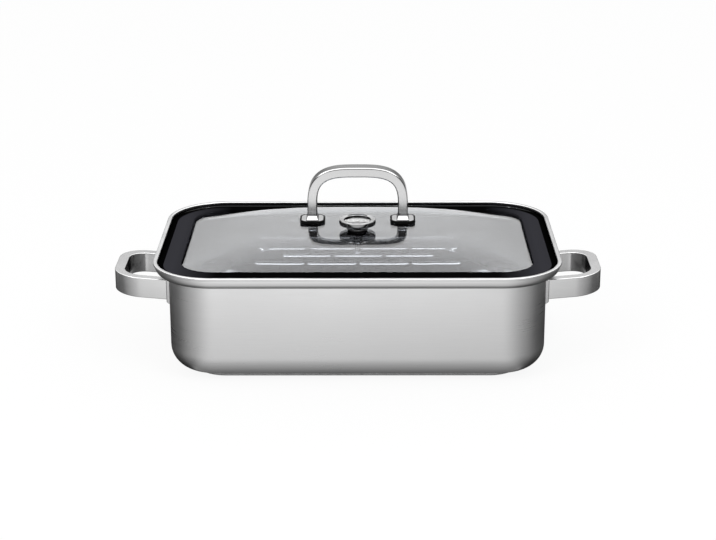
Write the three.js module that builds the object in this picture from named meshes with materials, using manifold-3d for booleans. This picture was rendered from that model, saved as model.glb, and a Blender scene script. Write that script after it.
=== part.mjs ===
import * as THREE from 'three';
import { mergeVertices } from 'three/addons/utils/BufferGeometryUtils.js';
import Module from 'manifold-3d';

const wasm = await Module();
wasm.setup();

// Steel roasting pan with a steaming insert and a domed glass lid that carries a thermometer.
// Millimetres, +Z up. The origin is under the middle of the base, X runs along the pan
// from handle to handle, and the front faces -Y.

// Fits
const seatGap = 0.3;          // between pieces that rest on each other or are welded or clamped
const runGap = 0.6;           // round pieces that turn, or that slip in by hand

// Pan
const panHeight = 105;        // lip above the surface that the pan stands on
const lipLength = 368;
const lipDepth = 242;
const lipCorner = 56;         // plan radius of the lip's outside corners
const lipWidth = 2.8;
const lipThickness = 2.2;
const lipOverhang = 1.2;      // lip edge past the top of the collar
const lipEase = 0.5;          // rounding of the lip's edges
const panSheet = 1;
const wallInset = 13.6;       // lip edge to the outside of the wall
const collarHeight = 12.5;    // lip to the crease where the straight wall begins
const collarDrop = 3;         // lip to the upper end of the collar's curve
const bottomRadius = 22;      // outside, between wall and floor

// Base
const baseInset = 36.5;       // lip edge to the edge of the base
const baseCorner = 28;
const baseEase = 1.2;         // rounding of the base's lower edge
const capSheet = 0.8;
const coreThickness = 3;

// Side handles
const handleReach = 226;      // middle of the pan to the outside of a handle
const handleSpan = 83;        // over both legs
const handleStrap = 9.2;
const handleTall = 18.8;
const handleDrop = 28;        // lip to the top of the handle at its weld
const handleTilt = 5;         // degrees that the loop rises outwards
const handleCorner = 26;      // outside plan radius
const handleEase = 2.6;
const bracketWidth = 92;
const bracketThickness = 5;
const bracketTall = 25;
const bracketRise = 1;        // bracket top above the handle's top
const bracketChamfer = 4;

// Steaming insert
const plateHeight = 72;       // top of the plate
const plateLength = 296;
const plateDepth = 196;
const plateSheet = 1;
const plateRim = 6;           // upturned long edges
const plateBend = 3;          // inside radius of those edges
const legBend = 14;           // outside radius between plate and leg
const legWidth = 88;
const slotLength = 46;
const slotWidth = 6;
const slotPitch = 50;
const slotRows = 5;
const slotRowPitch = 33;
const slotsInLongRow = 4;

// Lid glass and its rim
const glassThickness = 4;
const glassEdge = 14;         // lip edge to the edge of the glass
const glassDrop = 4.2;        // lip to the glass where its dome ends
const domeRise = 21.2;
const domePower = 3;
const domeSettle = 6;         // a higher power brings the corners down nearer to the border
const rimTilt = 8.3;          // degrees by which the rim, and the glass in it, fall outwards
const sealGap = 0.7;          // lip to the outside of the rim
const sealDrop = 2.7;         // lip to the inner edge of the rim, which is its highest line
const sealShoulder = 7;       // width of the rim's sloping outer edge
const sealShoulderDrop = 2.1;
const sealInner = 25.3;       // lip edge to the inside of the rim
const sealInnerEase = 0.8;
const sealFlange = 20;        // lip edge to the inside of the flange under the glass

// Lid handle
const lidHandleTop = 69;      // lip to the top of the bow
const legSpacing = 84;
const bowStrap = 9.1;
const bowWidth = 15;
const bowRise = 35;           // straight legs to the top of the bow's centre line
const bowPower = 3.3;
const bowEase = 1.3;
const footLength = 11.4;
const footWidth = 20.3;
const footTall = 3.6;
const footPlateThickness = 1.2;
const footPlateEase = 0.3;
const padSize = 23.3;
const padCorner = 6.5;
const padTall = 0.8;          // under the foot plate
const padLip = 1.2;           // edge of the pad round the foot plate
const screwRadius = 2.5;
const screwReach = 11;        // into the handle
const screwHeadRadius = 4.5;
const screwHeadTall = 3;
const washerRadius = 7;
const washerThickness = 1.2;
const underPadRadius = 8;
const underPadThickness = 2;
const handleHole = 9;         // diameter through the glass

// Thermometer
const thermoForward = 28;     // in front of the lid's middle
const thermoHole = 10;        // diameter through the glass
const neckRadius = 9.1;
const neckTall = 1;
const caseRadius = 15.3;
const caseFoot = 10;          // radius of the ring that stands on the neck
const caseFootTall = 0.7;
const caseTall = 7.1;
const caseSheet = 1.1;
const caseFloor = 1.5;
const bezelThickness = 1.25;
const bezelSkirt = 1.7;       // below the top of the case
const bezelFace = 1.7;        // above the lens
const viewRadius = 12.5;      // opening in the bezel
const lensThickness = 1.1;
const dialRadius = 13;
const dialThickness = 0.5;
const dialLift = 2.6;         // floor of the case to the underside of the dial
const pointerThickness = 0.4;
const pointerLength = 10.2;
const pointerTail = 3.2;
const pointerWidth = 1.3;
const pointerRest = 225;      // degrees, anticlockwise from +X as seen from above
const hubRadius = 1.7;
const shaftRadius = 0.6;
const stemRadius = 3;
const stemWall = 0.6;
const stemFlange = 6;
const stemFlangeThickness = 0.8;
const stemReach = 20;         // below the underside of the glass
const coilRadius = 1.75;
const coilWire = 0.35;        // radius
const coilPitch = 1.9;
const coilTurns = 7;
const nutAcross = 14;
const nutTall = 6;
const thermoPadRadius = 9;

// Facets
const cornerSteps = 7;        // quarter turns of the large outlines
const bendSteps = 5;          // quarter bends of sheet
const collarSteps = 6;
const easeSteps = 3;          // small roundings
const archSteps = 22;
const domeBands = 8;
const sideSteps = 3;          // points along each straight side of the dome
const roundSteps = 20;        // full turns
const bezelSteps = 28;
const screwSteps = 14;
const coilSteps = 8;
const coilSides = 5;

const degree = Math.PI / 180;

const finishes = {
  satinSteel: { color: 0xc3c4c5, roughness: 0.34, metalness: 1 },
  polishedSteel: { color: 0xd6d7d8, roughness: 0.14, metalness: 1 },
  aluminium: { color: 0xb9bbbe, roughness: 0.5, metalness: 1 },
  silicone: { color: 0x17181a, roughness: 0.62, metalness: 0 },
  glass: { color: 0xc9ced1, roughness: 0.04, metalness: 0, transparent: true, opacity: 0.35 },
  dial: { color: 0xe6e7e8, roughness: 0.5, metalness: 0 },
  needle: { color: 0xa01c1c, roughness: 0.4, metalness: 0 },
  bimetal: { color: 0xb08d57, roughness: 0.4, metalness: 1 },
};

// Only shared corners are kept, so that each solid is closed.
function closedGeometry(geometry) {
  geometry.deleteAttribute('normal');
  geometry.deleteAttribute('uv');
  const merged = mergeVertices(geometry, 1e-4);
  const index = merged.getIndex().array;
  const kept = [];
  for (let i = 0; i < index.length; i += 3) {
    const [a, b, c] = [index[i], index[i + 1], index[i + 2]];
    if (a !== b && b !== c && c !== a) kept.push(a, b, c);
  }
  merged.setIndex(kept);
  return merged;
}

function toSolid(geometry) {
  const closed = closedGeometry(geometry);
  const vertProperties = new Float32Array(closed.getAttribute('position').array);
  const triVerts = new Uint32Array(closed.getIndex().array);
  return new wasm.Manifold(new wasm.Mesh({ numProp: 3, vertProperties, triVerts }));
}

function fromSolid(solid) {
  const mesh = solid.getMesh();
  const geometry = new THREE.BufferGeometry();
  geometry.setAttribute('position', new THREE.BufferAttribute(mesh.vertProperties, 3));
  geometry.setIndex(new THREE.BufferAttribute(mesh.triVerts, 1));
  return geometry;
}

function cut(geometry, tools) {
  return fromSolid(tools.reduce((left, tool) => left.subtract(toSolid(tool)), toSolid(geometry)));
}

function join(geometries) {
  const [first, ...rest] = geometries.map(toSolid);
  return fromSolid(rest.reduce((whole, solid) => whole.add(solid), first));
}

// Skins a row of outlines. Each outline runs anticlockwise about the way in which the row goes on.
function loft(rings, closed = false) {
  const count = rings[0].length;
  const points = rings.flat();
  const faces = [];
  const spans = closed ? rings.length : rings.length - 1;
  for (let r = 0; r < spans; r += 1) {
    const near = r * count;
    const far = ((r + 1) % rings.length) * count;
    for (let i = 0; i < count; i += 1) {
      const j = (i + 1) % count;
      faces.push(near + i, near + j, far + j, near + i, far + j, far + i);
    }
  }
  const cap = (ring, flip) => {
    const centre = new THREE.Vector3();
    rings[ring].forEach((point) => centre.addScaledVector(point, 1 / count));
    points.push(centre);
    for (let i = 0; i < count; i += 1) {
      const edge = [ring * count + i, ring * count + ((i + 1) % count)];
      faces.push(points.length - 1, ...(flip ? edge.reverse() : edge));
    }
  };
  if (!closed) {
    cap(0, true);
    cap(rings.length - 1, false);
  }
  const geometry = new THREE.BufferGeometry().setFromPoints(points);
  geometry.setIndex(faces);
  return geometry;
}

// Rectangle with rounded corners about the origin, anticlockwise
function roundedOutline(length, depth, corner, steps = cornerSteps) {
  const radius = Math.min(corner, length / 2, depth / 2);
  const outline = [];
  for (let quarter = 0; quarter < 4; quarter += 1) {
    const middle = (quarter + 0.5) * 90 * degree;
    const x = Math.sign(Math.cos(middle)) * (length / 2 - radius);
    const y = Math.sign(Math.sin(middle)) * (depth / 2 - radius);
    for (let step = 0; step <= steps; step += 1) {
      const angle = (quarter + step / steps) * 90 * degree;
      outline.push(new THREE.Vector2(x + radius * Math.cos(angle), y + radius * Math.sin(angle)));
    }
  }
  return outline;
}

function flatRing(outline, height) {
  return outline.map((point) => new THREE.Vector3(point.x, point.y, height));
}

// The lip's outline, drawn in by an inset
function panRing([inset, height]) {
  const corner = Math.max(lipCorner - inset, 1);
  return flatRing(roundedOutline(lipLength - 2 * inset, lipDepth - 2 * inset, corner), height);
}

function roundedPlate(length, depth, corner, thickness, ease = 0) {
  const shape = new THREE.Shape(roundedOutline(length - 2 * ease, depth - 2 * ease, corner - ease));
  const geometry = new THREE.ExtrudeGeometry(shape, {
    depth: thickness - 2 * ease,
    bevelEnabled: ease > 0,
    bevelThickness: ease,
    bevelSize: ease,
    bevelSegments: 1,
  });
  return geometry.translate(0, 0, ease);
}

// Turned piece: the profile goes up its outside, and starts and ends on the axis or closes on itself.
function turned(profile, steps = roundSteps) {
  const points = profile.map(([radius, height]) => new THREE.Vector2(radius, height));
  return new THREE.LatheGeometry(points, steps).rotateX(90 * degree);
}

function disc(radius, bottom, top) {
  return turned([[0, bottom], [radius, bottom], [radius, top], [0, top]]);
}

function washer(inside, outside, bottom, top) {
  return turned([[inside, bottom], [outside, bottom], [outside, top], [inside, top], [inside, bottom]]);
}

// Points round a quarter of an ellipse, from its first axis to its second
function quarterCurve(steps, place) {
  return Array.from({ length: steps + 1 }, (_, step) => place((step / steps) * 90 * degree));
}

function piece(name, geometry, finish) {
  const closed = closedGeometry(geometry);
  closed.computeVertexNormals();
  const mesh = new THREE.Mesh(closed, new THREE.MeshStandardMaterial(finishes[finish]));
  mesh.name = name;
  return mesh;
}

// Pan heights that other pieces use
const coreBottom = capSheet + seatGap;
const coreTop = coreBottom + coreThickness;
const floorBottom = coreTop + seatGap;
const floorTop = floorBottom + panSheet;
const ledgeInset = wallInset + panSheet;
const ledgeTop = panHeight - collarHeight + panSheet;
const collarReach = wallInset - lipOverhang;
const wallHalfLength = lipLength / 2 - wallInset;
const insideRadius = bottomRadius - panSheet;
const floorInset = wallInset + bottomRadius;

function panBody() {
  const bottomArc = quarterCurve(bendSteps, (angle) => [
    floorInset - bottomRadius * Math.sin(angle),
    floorBottom + bottomRadius * (1 - Math.cos(angle)),
  ]);
  const collar = quarterCurve(collarSteps, (angle) => [
    wallInset - collarReach * Math.sin(angle),
    panHeight - collarDrop - (collarHeight - collarDrop) * Math.cos(angle),
  ]);
  const lip = [
    [lipEase, panHeight - lipThickness],
    [0, panHeight - lipThickness + lipEase],
    [0, panHeight - lipEase],
    [lipEase, panHeight],
    [lipWidth - lipEase, panHeight],
    [lipWidth, panHeight - lipEase],
    [lipWidth, panHeight - lipThickness],
  ];
  const collarInside = quarterCurve(collarSteps, (angle) => [
    ledgeInset - collarReach * Math.cos(angle),
    panHeight - collarDrop - (collarHeight - collarDrop - panSheet) * Math.sin(angle),
  ]);
  const bottomInside = quarterCurve(bendSteps, (angle) => [
    floorInset - insideRadius * Math.cos(angle),
    floorTop + insideRadius * (1 - Math.sin(angle)),
  ]);
  return loft([...bottomArc, ...collar, ...lip, ...collarInside, ...bottomInside].map(panRing));
}

const baseLength = lipLength - 2 * baseInset;
const baseDepth = lipDepth - 2 * baseInset;

function baseRing([inset, height]) {
  const outline = roundedOutline(baseLength - 2 * inset, baseDepth - 2 * inset, baseCorner - inset);
  return flatRing(outline, height);
}

// The capsule's rim stops where the pan's bottom starts to curve up over it.
function baseCap() {
  const profile = [
    [baseEase, 0],
    [0, baseEase],
    [0, coreTop],
    [capSheet, coreTop],
    [capSheet, baseEase],
    [baseEase, capSheet],
  ];
  return loft(profile.map(baseRing));
}

function baseCore() {
  const side = capSheet + seatGap;
  const profile = [
    [side + seatGap, coreBottom],
    [side, coreBottom + seatGap],
    [side, coreTop],
  ];
  return loft(profile.map(baseRing));
}

const bracketOutside = wallHalfLength + seatGap + bracketThickness;
const handleTop = panHeight - handleDrop;

// Rings of a section along a flat path: across lies in the path's plane, square is its normal.
function sweep(path, section, square) {
  return path.map((point, i) => {
    const before = path[Math.max(i - 1, 0)];
    const after = path[Math.min(i + 1, path.length - 1)];
    const along = new THREE.Vector3().subVectors(after, before).normalize();
    const across = new THREE.Vector3().crossVectors(square, along);
    return section.map(({ x, y }) => point.clone().addScaledVector(across, x).addScaledVector(square, y));
  });
}

// Right-hand handle, from its front leg round to its rear leg
function sideHandle() {
  const start = bracketOutside + seatGap;
  const middle = handleStrap / 2;
  const radius = handleCorner - middle;
  const x = handleReach - handleCorner;
  const y = handleSpan / 2 - handleCorner;
  const height = handleTop - handleTall / 2;
  const path = [new THREE.Vector3(start, -y - radius, height)];
  const bend = (side) => quarterCurve(cornerSteps, (angle) => {
    const turn = side > 0 ? angle : 90 * degree - angle;
    return new THREE.Vector3(x + radius * Math.cos(turn), side * (y + radius * Math.sin(turn)), height);
  });
  path.push(...bend(-1), ...bend(1));
  path.push(new THREE.Vector3(start, y + radius, height));
  const section = roundedOutline(handleStrap, handleTall, handleEase, easeSteps);
  const rings = sweep(path, section, new THREE.Vector3(0, 0, 1));
  const slope = Math.tan(handleTilt * degree);
  rings.flat().forEach((point) => point.setZ(point.z + slope * (point.x - start)));
  return loft(rings);
}

// Welded plate with its lower edge chamfered back to the wall
function bracket() {
  const inside = wallHalfLength + seatGap;
  const top = handleTop + bracketRise;
  const bottom = top - bracketTall;
  const shape = new THREE.Shape([
    new THREE.Vector2(inside, bottom),
    new THREE.Vector2(inside + bracketThickness, bottom + bracketChamfer),
    new THREE.Vector2(inside + bracketThickness, top),
    new THREE.Vector2(inside, top),
  ]);
  const geometry = new THREE.ExtrudeGeometry(shape, { depth: bracketWidth, bevelEnabled: false });
  return geometry.rotateX(90 * degree).translate(0, bracketWidth / 2, 0);
}

// A bent sheet seen from its end: the line is its upper or outer face, the other lies to its right.
function bentSheet(line, thickness) {
  const inner = line.map((point, i) => {
    const before = line[Math.max(i - 1, 0)];
    const after = line[Math.min(i + 1, line.length - 1)];
    const along = new THREE.Vector2().subVectors(after, before).normalize();
    return new THREE.Vector2(point.x + along.y * thickness, point.y - along.x * thickness);
  });
  return new THREE.Shape([...line, ...inner.reverse()]);
}

function mirrorLine(half) {
  const other = half.map((point) => new THREE.Vector2(-point.x, point.y));
  return [...half, ...other.reverse()];
}

function slot() {
  const radius = slotWidth / 2;
  const shape = new THREE.Shape(roundedOutline(slotLength, slotWidth, radius, easeSteps));
  const geometry = new THREE.ExtrudeGeometry(shape, { depth: 3 * plateSheet, bevelEnabled: false });
  return geometry.translate(0, 0, plateHeight - 2 * plateSheet);
}

// The legs stand on the curve between the pan's floor and its side walls.
function steamInsert() {
  const legFace = plateLength / 2 + legBend;
  const curveStart = lipLength / 2 - floorInset;
  const footRise = Math.sqrt((insideRadius - seatGap) ** 2 - (legFace - curveStart) ** 2);
  const footHeight = floorTop + insideRadius - footRise;
  const bridgeHalf = [new THREE.Vector2(-legFace, footHeight)];
  bridgeHalf.push(...quarterCurve(bendSteps, (angle) => new THREE.Vector2(
    -plateLength / 2 - legBend * Math.cos(angle),
    plateHeight - legBend * (1 - Math.sin(angle)),
  )));
  const bridgeShape = bentSheet(mirrorLine(bridgeHalf), plateSheet);
  const bridge = new THREE.ExtrudeGeometry(bridgeShape, { depth: legWidth, bevelEnabled: false });
  bridge.rotateX(90 * degree).translate(0, legWidth / 2, 0);

  const rimBend = plateBend + plateSheet;
  const trayHalf = [new THREE.Vector2(-plateDepth / 2 + plateSheet, plateHeight + plateRim)];
  trayHalf.push(...quarterCurve(easeSteps, (angle) => new THREE.Vector2(
    -plateDepth / 2 + rimBend - plateBend * Math.cos(angle),
    plateHeight + plateBend * (1 - Math.sin(angle)),
  )));
  const trayShape = bentSheet(mirrorLine(trayHalf), plateSheet);
  const tray = new THREE.ExtrudeGeometry(trayShape, { depth: plateLength, bevelEnabled: false });
  const lengthwise = new THREE.Matrix4().makeBasis(
    new THREE.Vector3(0, 1, 0),
    new THREE.Vector3(0, 0, 1),
    new THREE.Vector3(1, 0, 0),
  );
  tray.applyMatrix4(lengthwise).translate(-plateLength / 2, 0, 0);

  const slots = [];
  for (let row = 0; row < slotRows; row += 1) {
    const fromMiddle = row - (slotRows - 1) / 2;
    const count = fromMiddle % 2 === 0 ? slotsInLongRow - 1 : slotsInLongRow;
    for (let i = 0; i < count; i += 1) {
      slots.push(slot().translate((i - (count - 1) / 2) * slotPitch, fromMiddle * slotRowPitch, 0));
    }
  }
  return cut(join([bridge, tray]), slots);
}

// Lid heights are measured from the lip.
const glassTop = -glassDrop;
const rimFall = Math.tan(rimTilt * degree);
const domeLength = lipLength - 2 * sealInner;
const domeDepth = lipDepth - 2 * sealInner;
const domeCorner = lipCorner - sealInner;
const domeSteps = Array.from({ length: domeBands }, (_, band) => ((band + 1) / domeBands) ** 0.8);

// Height of the dome's upper face: it falls to all four sides in the same curve.
function domeHeight(x, y) {
  const along = 1 - Math.min(Math.abs(x) / (domeLength / 2), 1) ** domePower;
  const across = 1 - Math.min(Math.abs(y) / (domeDepth / 2), 1) ** domePower;
  return glassTop + domeRise * along * across;
}

// Adds points along the straight sides of a ring, which has four rounded corners.
function withSides(ring) {
  const inCorner = ring.length / 4;
  return ring.flatMap((point, i) => {
    const next = ring[(i + 1) % ring.length];
    const added = (i + 1) % inCorner === 0 ? sideSteps : 0;
    const between = Array.from({ length: added }, (_, step) => (step + 1) / (sideSteps + 1));
    return [point, ...between.map((part) => point.clone().lerp(next, part))];
  });
}

// One line round the dome. In the corners it settles on to the border, where the dome ends.
function domeRing(share, shift) {
  const outline = roundedOutline(domeLength, domeDepth, domeCorner);
  return withSides(flatRing(outline, shift)).map((point) => {
    const settle = (domeHeight(point.x, point.y) - glassTop) * share ** domeSettle;
    const x = point.x * share;
    const y = point.y * share;
    return new THREE.Vector3(x, y, domeHeight(x, y) - settle + point.z);
  });
}

const crown = domeHeight(0, 0);

// A point of the border, which falls outwards from the edge of the dome
function border(inset, height) {
  return [inset, height - rimFall * (sealInner - inset)];
}

function lidGlass() {
  const rings = domeSteps.map((share) => domeRing(share, -glassThickness));
  const edge = [glassTop - glassThickness, glassTop].map((height) => panRing(border(glassEdge, height)));
  rings.push(...edge.map(withSides));
  rings.push(...domeSteps.map((share) => domeRing(share, 0)).reverse());
  const bore = (diameter) => disc(diameter / 2, crown - domeRise, crown + domeRise);
  return cut(loft(rings), [
    bore(handleHole).translate(-legSpacing / 2, 0, 0),
    bore(handleHole).translate(legSpacing / 2, 0, 0),
    bore(thermoHole).translate(0, -thermoForward, 0),
  ]);
}

// Everything up to the upper face of the dome, for seating pads on it
function belowDome() {
  const rings = domeSteps.map((share) => domeRing(share, seatGap)).reverse();
  return loft([domeRing(1, -domeRise), ...rings]);
}

// Everything above the lower face of the dome, for seating pads under it
function aboveDome() {
  const rings = domeSteps.map((share) => domeRing(share, -glassThickness - seatGap));
  return loft([...rings, domeRing(1, 2 * domeRise)]);
}

// Wide rim: it follows the collar's curve outside, and holds the edge of the glass in a groove.
function lidSeal() {
  const reach = collarReach - seatGap;
  const fall = collarHeight - collarDrop - panSheet - seatGap;
  const outside = lipWidth + sealGap;
  const topAngle = Math.acos((ledgeInset - outside) / reach);
  const flank = Array.from({ length: bendSteps }, (_, step) => {
    const angle = THREE.MathUtils.lerp(90 * degree, topAngle, step / (bendSteps - 1));
    return [ledgeInset - reach * Math.cos(angle), -collarDrop - fall * Math.sin(angle)];
  });
  const seat = ledgeTop - panHeight + seatGap;
  const grooveTop = glassTop + seatGap;
  const grooveBottom = glassTop - glassThickness - seatGap;
  const grooveEnd = glassEdge - seatGap;
  const [shoulderEnd, shoulderTop] = border(outside + sealShoulder, -sealDrop);
  const profile = [
    ...flank,
    [outside, shoulderTop - sealShoulderDrop],
    [outside + sealShoulder / 2, shoulderTop - sealShoulderDrop / 4],
    [shoulderEnd, shoulderTop],
    border(sealInner - sealInnerEase, -sealDrop),
    [sealInner, -sealDrop - sealInnerEase],
    [sealInner, grooveTop],
    border(grooveEnd, grooveTop),
    border(grooveEnd, grooveBottom),
    border(sealFlange, grooveBottom),
    [sealFlange, seat],
  ];
  return loft(profile.map(panRing), true);
}

const padPocket = crown + padTall;
const footPlateBottom = padPocket + seatGap;
const footPlateTop = footPlateBottom + footPlateThickness;
const footBottom = footPlateTop + seatGap;
const screwHole = screwRadius + seatGap;

// Bow of flat strap on a rounded arch, with each leg spread into a foot
function lidHandle() {
  const side = legSpacing / 2;
  const archTop = lidHandleTop - bowStrap / 2;
  const archBase = archTop - bowRise;
  const footTop = footBottom + footTall;
  const arch = Array.from({ length: archSteps + 1 }, (_, step) => {
    const angle = (1 - step / archSteps) * Math.PI;
    const bulge = 2 / bowPower;
    const x = Math.sign(Math.cos(angle)) * Math.abs(Math.cos(angle)) ** bulge;
    return new THREE.Vector3(side * x, 0, archBase + bowRise * Math.sin(angle) ** bulge);
  });
  const path = [new THREE.Vector3(-side, 0, footTop), ...arch, new THREE.Vector3(side, 0, footTop)];
  const across = new THREE.Vector3(0, 1, 0);
  const bow = sweep(path, roundedOutline(bowStrap, bowWidth, bowEase, easeSteps), across);
  const foot = roundedOutline(footLength, footWidth, bowEase, easeSteps);
  const soles = [-side, side].map((x) => sweep([
    new THREE.Vector3(x, 0, footBottom),
    new THREE.Vector3(x, 0, footBottom - Math.sign(x)),
  ], foot, across)[0]);
  const holes = [-side, side].map((x) => {
    const depth = screwReach + runGap;
    return disc(screwHole, footBottom - seatGap, footBottom + depth).translate(x, 0, 0);
  });
  return cut(loft([soles[0], ...bow, soles[1]]), holes);
}

function footPlate(x) {
  const side = padLip + seatGap;
  const size = padSize - 2 * side;
  const plate = roundedPlate(size, size, padCorner - side, footPlateThickness, footPlateEase);
  plate.translate(0, 0, footPlateBottom);
  return cut(plate, [disc(screwHole, crown, footBottom)]).translate(x, 0, 0);
}

// Soft pad shaped to the dome below, with a pocket above that holds the foot plate
function footPad(x) {
  const bottom = crown - padTall;
  const pad = roundedPlate(padSize, padSize, padCorner, footPlateTop - bottom);
  pad.translate(x, 0, bottom);
  const inside = padSize - 2 * padLip;
  const pocket = roundedPlate(inside, inside, padCorner - padLip, 2 * footPlateThickness);
  pocket.translate(x, 0, padPocket);
  const hole = disc(screwHole, bottom - padTall, footPlateTop).translate(x, 0, 0);
  return cut(pad, [pocket, hole, belowDome()]);
}

// Under the glass a soft pad, a washer and the screw's head hold each foot.
const underPadBottom = domeHeight(legSpacing / 2, 0) - glassThickness - seatGap - underPadThickness;
const washerTop = underPadBottom - seatGap;
const screwSeat = washerTop - washerThickness - seatGap;

function underPad(x) {
  const pad = washer(screwHole, underPadRadius, underPadBottom, underPadBottom + 2 * underPadThickness);
  return cut(pad.translate(x, 0, 0), [aboveDome()]);
}

function footWasher(x) {
  return washer(screwHole, washerRadius, washerTop - washerThickness, washerTop).translate(x, 0, 0);
}

function footScrew(x) {
  const headBottom = screwSeat - screwHeadTall;
  const shoulder = screwHeadTall / 3;
  return turned([
    [0, headBottom],
    [screwHeadRadius - shoulder, headBottom],
    [screwHeadRadius, headBottom + shoulder],
    [screwHeadRadius, screwSeat],
    [screwRadius, screwSeat],
    [screwRadius, footBottom + screwReach],
    [0, footBottom + screwReach],
  ], screwSteps).translate(x, 0, 0);
}

// Thermometer, about its own axis, with heights still measured from the lip
const thermoSeat = domeHeight(0, thermoForward);
const neckTop = thermoSeat + neckTall;
const caseBottom = neckTop + seatGap;
const caseFloorTop = caseBottom + caseFloor;
const caseTop = caseBottom + caseTall;
const caseInside = caseRadius - caseSheet;
const stemHole = stemRadius + seatGap;
const lensTop = caseTop;
const lensBottom = lensTop - lensThickness;
const dialBottom = caseFloorTop + dialLift;
const dialTop = dialBottom + dialThickness;
const pointerTop = lensBottom - seatGap;
const pointerBottom = pointerTop - pointerThickness;
const glassUnderThermo = thermoSeat - glassThickness;
const stemTip = glassUnderThermo - stemReach;
const stemBore = stemRadius - stemWall;
const stemTop = caseFloorTop + seatGap + stemFlangeThickness;
const thermoPadBottom = glassUnderThermo - seatGap - underPadThickness;
const nutTop = thermoPadBottom - seatGap;

function thermoNeck() {
  const taper = neckTall / 4;
  const neck = turned([
    [stemHole, thermoSeat - neckTall],
    [neckRadius, thermoSeat - neckTall],
    [neckRadius, neckTop - taper],
    [neckRadius - taper, neckTop],
    [stemHole, neckTop],
    [stemHole, thermoSeat - neckTall],
  ]);
  return cut(neck.translate(0, -thermoForward, 0), [belowDome()]).translate(0, thermoForward, 0);
}

// Cone-shaped cup on a foot ring, stepped inside for the lens and for the dial
function thermoCase() {
  const lensSeat = lensBottom - seatGap;
  const dialSeat = dialBottom - seatGap;
  const pocket = dialRadius + seatGap;
  return turned([
    [stemHole, caseBottom],
    [caseFoot, caseBottom],
    [caseFoot, caseBottom + caseFootTall],
    [caseRadius, dialTop],
    [caseRadius, caseTop],
    [caseInside, caseTop],
    [caseInside, lensSeat],
    [pocket, lensSeat],
    [pocket, dialSeat],
    [pocket - caseSheet, dialSeat],
    [caseFoot - caseSheet, caseFloorTop],
    [stemHole, caseFloorTop],
    [stemHole, caseBottom],
  ]);
}

function thermoBezel() {
  const inside = caseRadius + seatGap;
  const outside = inside + bezelThickness;
  const bottom = caseTop - bezelSkirt;
  const under = caseTop + seatGap;
  const top = under + bezelFace;
  const round = bezelThickness / 2;
  return turned([
    [inside, bottom],
    [outside - round, bottom],
    [outside, bottom + round],
    [outside, under],
    [outside - round, top - round / 2],
    [outside - 2 * round, top],
    [viewRadius + round, top],
    [viewRadius, top - round],
    [viewRadius, under],
    [inside, under],
    [inside, bottom],
  ], bezelSteps);
}

function thermoLens() {
  return disc(caseInside - seatGap, lensBottom, lensTop);
}

function thermoDial() {
  return washer(shaftRadius + runGap, dialRadius, dialBottom, dialTop);
}

// Needle that points to the left front, with a round hub over the shaft
function thermoPointer() {
  const needle = new THREE.Shape([
    new THREE.Vector2(-pointerTail, -pointerWidth / 2),
    new THREE.Vector2(pointerLength, -pointerWidth / 6),
    new THREE.Vector2(pointerLength, pointerWidth / 6),
    new THREE.Vector2(-pointerTail, pointerWidth / 2),
  ]);
  const blade = new THREE.ExtrudeGeometry(needle, { depth: pointerThickness, bevelEnabled: false });
  blade.translate(0, 0, pointerBottom).rotateZ(pointerRest * degree);
  return join([blade, disc(hubRadius, pointerBottom, pointerTop)]);
}

const stemFloor = stemTip + stemRadius;

function thermoShaft() {
  return disc(shaftRadius, stemFloor + runGap, pointerBottom - seatGap);
}

function thermoStem() {
  const flangeBottom = caseFloorTop + seatGap;
  const tip = quarterCurve(easeSteps, (angle) => [
    stemRadius * Math.sin(angle),
    stemFloor - stemRadius * Math.cos(angle),
  ]);
  return turned([
    ...tip,
    [stemRadius, flangeBottom],
    [stemFlange, flangeBottom],
    [stemFlange, stemTop],
    [stemBore, stemTop],
    [stemBore, stemFloor],
    [0, stemFloor],
  ]);
}

// Bimetal coil round the shaft, inside the stem
function thermoCoil() {
  const bottom = stemFloor + coilWire + seatGap;
  const rings = Array.from({ length: coilSteps * coilTurns + 1 }, (_, step) => {
    const turns = step / coilSteps;
    const angle = turns * 360 * degree;
    const out = new THREE.Vector3(Math.cos(angle), Math.sin(angle), 0);
    const middle = out.clone().multiplyScalar(coilRadius).setZ(bottom + coilPitch * turns);
    return Array.from({ length: coilSides }, (__, side) => {
      const turn = (side / coilSides) * 360 * degree;
      const offset = new THREE.Vector3(0, 0, coilWire * Math.sin(turn));
      return middle.clone().addScaledVector(out, -coilWire * Math.cos(turn)).add(offset);
    });
  });
  return loft(rings);
}

function thermoPad() {
  const pad = washer(stemHole, thermoPadRadius, thermoPadBottom, thermoPadBottom + 2 * underPadThickness);
  return cut(pad.translate(0, -thermoForward, 0), [aboveDome()]).translate(0, thermoForward, 0);
}

function thermoNut() {
  const hexagon = turned([
    [stemHole, nutTop - nutTall],
    [nutAcross / Math.sqrt(3), nutTop - nutTall],
    [nutAcross / Math.sqrt(3), nutTop],
    [stemHole, nutTop],
    [stemHole, nutTop - nutTall],
  ], 6);
  const bore = disc(stemHole, nutTop - 2 * nutTall, nutTop + nutTall);
  return cut(hexagon, [bore]);
}

// Assembly
const pan = new THREE.Group();
pan.add(piece('pan_body', panBody(), 'satinSteel'));
pan.add(piece('base_core', baseCore(), 'aluminium'));
pan.add(piece('base_cap', baseCap(), 'satinSteel'));
['right', 'left'].forEach((side, turn) => {
  const grip = new THREE.Group();
  grip.rotation.z = turn * Math.PI;
  grip.add(piece(`${side}_bracket`, bracket(), 'satinSteel'));
  grip.add(piece(`${side}_handle`, sideHandle(), 'satinSteel'));
  pan.add(grip);
});
pan.add(piece('steam_insert', steamInsert(), 'satinSteel'));

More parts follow.
